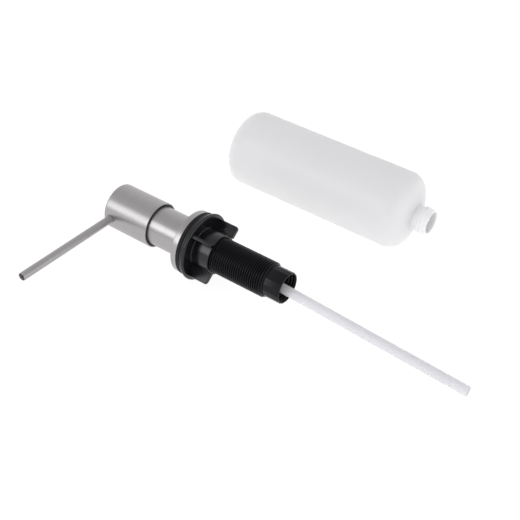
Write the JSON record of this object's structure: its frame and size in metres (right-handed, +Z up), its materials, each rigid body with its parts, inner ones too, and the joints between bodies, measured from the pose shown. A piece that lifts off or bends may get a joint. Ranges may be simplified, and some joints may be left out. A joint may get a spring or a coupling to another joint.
{
  "type": "built-in soap pump dispenser",
  "caption": "Sink-mounted soap pump with a press head, long spout, threaded shank, wing nut and dip tube, laid beside its unscrewed refill bottle.",
  "frame": {"origin": "on the surface that the pieces lie on, under the middle of their whole spread", "axes": "+X along the pump's axis from the push head to the dip tube, +Y from the pump towards the bottle, +Z up"},
  "size_m": [0.2914, 0.2606, 0.0604],
  "materials": {
    "brushed_steel": "brushed stainless",
    "black_plastic": "moulded, slightly glossy",
    "black_rubber": "matt",
    "natural_plastic": "natural polypropylene",
    "tube_plastic": "translucent polyethylene",
    "bottle_plastic": "milky blow-moulded polyethylene",
    "spring_steel": "drawn wire",
    "valve_ball": "polished"
  },
  "bodies": {
    "fixture": {"threaded_shank": "black_plastic", "collar": "brushed_steel", "deck_gasket": "black_rubber"},
    "washer": {"slip_washer": "black_plastic"},
    "nut": {"wing_nut": "black_plastic"},
    "pump": {"pump_housing": "natural_plastic", "pump_cap": "natural_plastic", "pump_seat_seal": "black_rubber", "spring_cup": "natural_plastic", "dip_tube": "tube_plastic", "return_spring": "spring_steel"},
    "plunging_piston": {"piston": "natural_plastic"},
    "head": {"head_shell": "brushed_steel", "head_liner": "black_plastic", "head_core": "black_plastic", "spout_tube": "brushed_steel", "spout_seal": "black_rubber", "pump_stem": "natural_plastic", "valve_plunger": "natural_plastic"},
    "inlet_valve": {"inlet_ball": "valve_ball"},
    "outlet_valve": {"outlet_ball": "valve_ball"},
    "refill_bottle": {"bottle": "bottle_plastic"}
  },
  "joints": [
    {"name": "pump_lift", "type": "slide", "parent": "fixture", "child": "pump", "axis": [-1, 0, 0], "range_m": [0, 0.06]},
    {"name": "head_press", "type": "slide", "parent": "pump", "child": "plunging_piston", "axis": [1, 0, 0], "range_m": [0, 0.016], "stiffness_N_per_m": 400, "springref_m": -0.012, "deforming": ["return_spring"]},
    {"name": "head_swivel", "type": "hinge", "parent": "plunging_piston", "child": "head", "pos_m": [-0.14575, -0.0258, 0.0255], "axis": [1, 0, 0], "continuous": true},
    {"name": "inlet_lift", "type": "slide", "parent": "pump", "child": "inlet_valve", "axis": [-1, 0, 0], "range_m": [0, 0.002]},
    {"name": "outlet_lift", "type": "slide", "parent": "head", "child": "outlet_valve", "axis": [-1, 0, 0], "range_m": [0, 0.002]},
    {"name": "nut_travel", "type": "slide", "parent": "fixture", "child": "washer", "axis": [1, 0, 0], "range_m": [0, 0.04]},
    {"name": "nut_spin", "type": "hinge", "parent": "washer", "child": "nut", "pos_m": [-0.14575, -0.0258, 0.0255], "axis": [1, 0, 0], "range_deg": [0, 7920]},
    {"name": "bottle_turn", "type": "hinge", "parent": "fixture", "child": "refill_bottle", "pos_m": [0.1, 0.03715, 0.02785], "axis": [0, 0.0373, -0.9993], "range_deg": [0, 180]}
  ],
  "couplings": [
    {"joint": "nut_travel", "follows": "nut_spin", "m_per_rad": 0.00028871}
  ]
}
